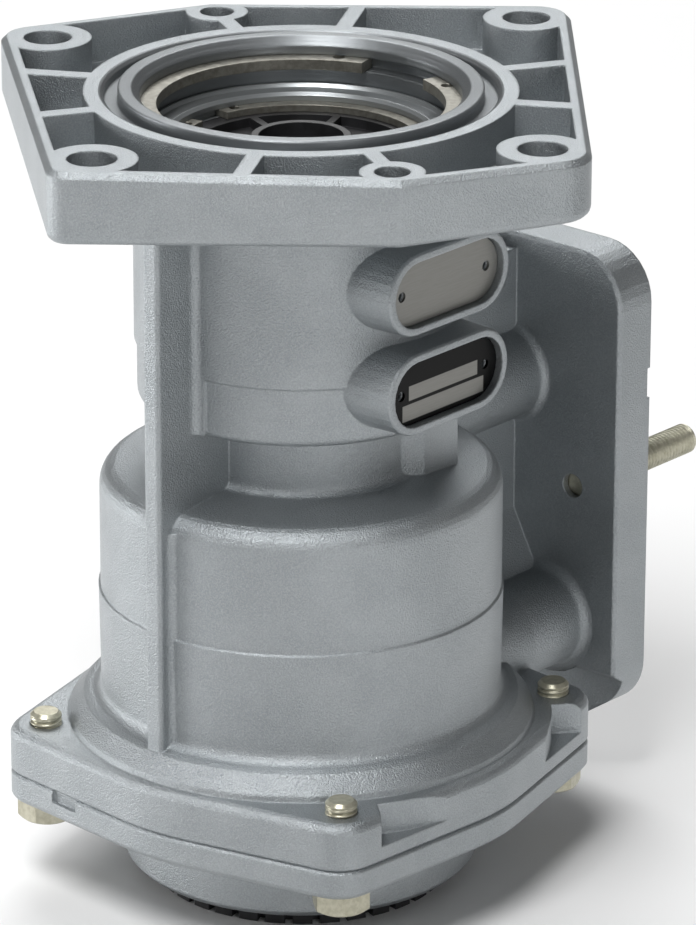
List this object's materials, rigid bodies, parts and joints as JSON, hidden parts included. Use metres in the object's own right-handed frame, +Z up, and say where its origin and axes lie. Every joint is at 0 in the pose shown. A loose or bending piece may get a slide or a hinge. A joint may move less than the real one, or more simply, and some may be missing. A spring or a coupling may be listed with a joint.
{
  "type": "dual-circuit foot brake valve",
  "caption": "Cast foot brake valve for two air circuits, with a bolting flange on top, a port plate at one side and a silencer ring below.",
  "frame": {"origin": "on the valve's axis, in the flat top face of the mounting flange", "axes": "+Z up along the valve's axis, out of the flange face; +X towards the port plate and along the studs; the nameplates face -Y"},
  "size_m": [0.2137, 0.1735, 0.2069],
  "materials": {
    "cast_aluminium": "shot-blasted die casting, fine grain",
    "cover_aluminium": "shot-blasted die casting, fine grain",
    "piston_aluminium": "turned and anodised",
    "zinc_steel": "yellow zinc plated",
    "clip_steel": "phosphated spring steel",
    "spring_steel": "drawn wire",
    "brass": "turned",
    "seal_rubber": "moulded, matt",
    "black_plastic": "moulded, matt",
    "guide_plastic": "turned",
    "bare_tag": "bare sheet, satin",
    "black_tag": "black print on sheet"
  },
  "bodies": {
    "casing": {"valve_body": "cast_aluminium", "bottom_cover": "cover_aluminium", "cover_seal": "seal_rubber", "cover_screws": "zinc_steel", "upper_circlip": "clip_steel", "piston_return_spring": "spring_steel", "upper_valve_spring": "spring_steel", "upper_valve_guide": "brass", "upper_guide_seal": "seal_rubber", "relay_return_spring": "spring_steel", "valve_housing": "piston_aluminium", "housing_seals": "seal_rubber", "lower_valve_spring": "spring_steel", "lower_valve_guide": "brass", "lower_guide_seal": "seal_rubber", "guide_circlip": "clip_steel", "exhaust_silencer": "black_plastic", "silencer_ring": "clip_steel", "exhaust_flap": "seal_rubber", "flap_pin": "black_plastic", "upper_nameplate": "bare_tag", "lower_nameplate": "black_tag", "port_studs": "zinc_steel", "port_seals": "seal_rubber"},
    "reaction_piston": {"reaction_piston": "piston_aluminium", "piston_seal": "seal_rubber", "piston_guide_ring": "guide_plastic", "lower_circlip": "clip_steel", "graduating_spring": "seal_rubber"},
    "plunger": {"plunger": "black_plastic"},
    "upper_valve": {"upper_valve": "brass", "upper_valve_face": "seal_rubber"},
    "relay_piston": {"relay_piston": "piston_aluminium", "relay_seal": "seal_rubber"},
    "lower_valve": {"lower_valve": "brass", "lower_valve_face": "seal_rubber"}
  },
  "joints": [
    {"name": "reaction_piston_stroke", "type": "slide", "parent": "casing", "child": "reaction_piston", "axis": [0, 0, -1], "range_m": [0, 0.004], "stiffness_N_per_m": 3000, "springref_m": -0.005, "deforming": ["piston_return_spring"]},
    {"name": "plunger_stroke", "type": "slide", "parent": "reaction_piston", "child": "plunger", "axis": [0, 0, -1], "range_m": [0, 0.005], "stiffness_N_per_m": 2000, "springref_m": -0.004, "deforming": ["graduating_spring"]},
    {"name": "upper_valve_lift", "type": "slide", "parent": "casing", "child": "upper_valve", "axis": [0, 0, -1], "range_m": [0, 0.003], "stiffness_N_per_m": 800, "springref_m": -0.005, "deforming": ["upper_valve_spring"]},
    {"name": "relay_piston_stroke", "type": "slide", "parent": "casing", "child": "relay_piston", "axis": [0, 0, -1], "range_m": [0, 0.004], "stiffness_N_per_m": 1500, "springref_m": -0.005, "deforming": ["relay_return_spring"]},
    {"name": "lower_valve_lift", "type": "slide", "parent": "casing", "child": "lower_valve", "axis": [0, 0, -1], "range_m": [0, 0.003], "stiffness_N_per_m": 800, "springref_m": -0.005, "deforming": ["lower_valve_spring"]}
  ],
  "couplings": [
    {"joint": "plunger_stroke", "follows": "reaction_piston_stroke", "ratio": 1.25},
    {"joint": "upper_valve_lift", "follows": "reaction_piston_stroke", "ratio": 0.75},
    {"joint": "relay_piston_stroke", "follows": "reaction_piston_stroke", "ratio": 1},
    {"joint": "lower_valve_lift", "follows": "reaction_piston_stroke", "ratio": 0.75}
  ]
}
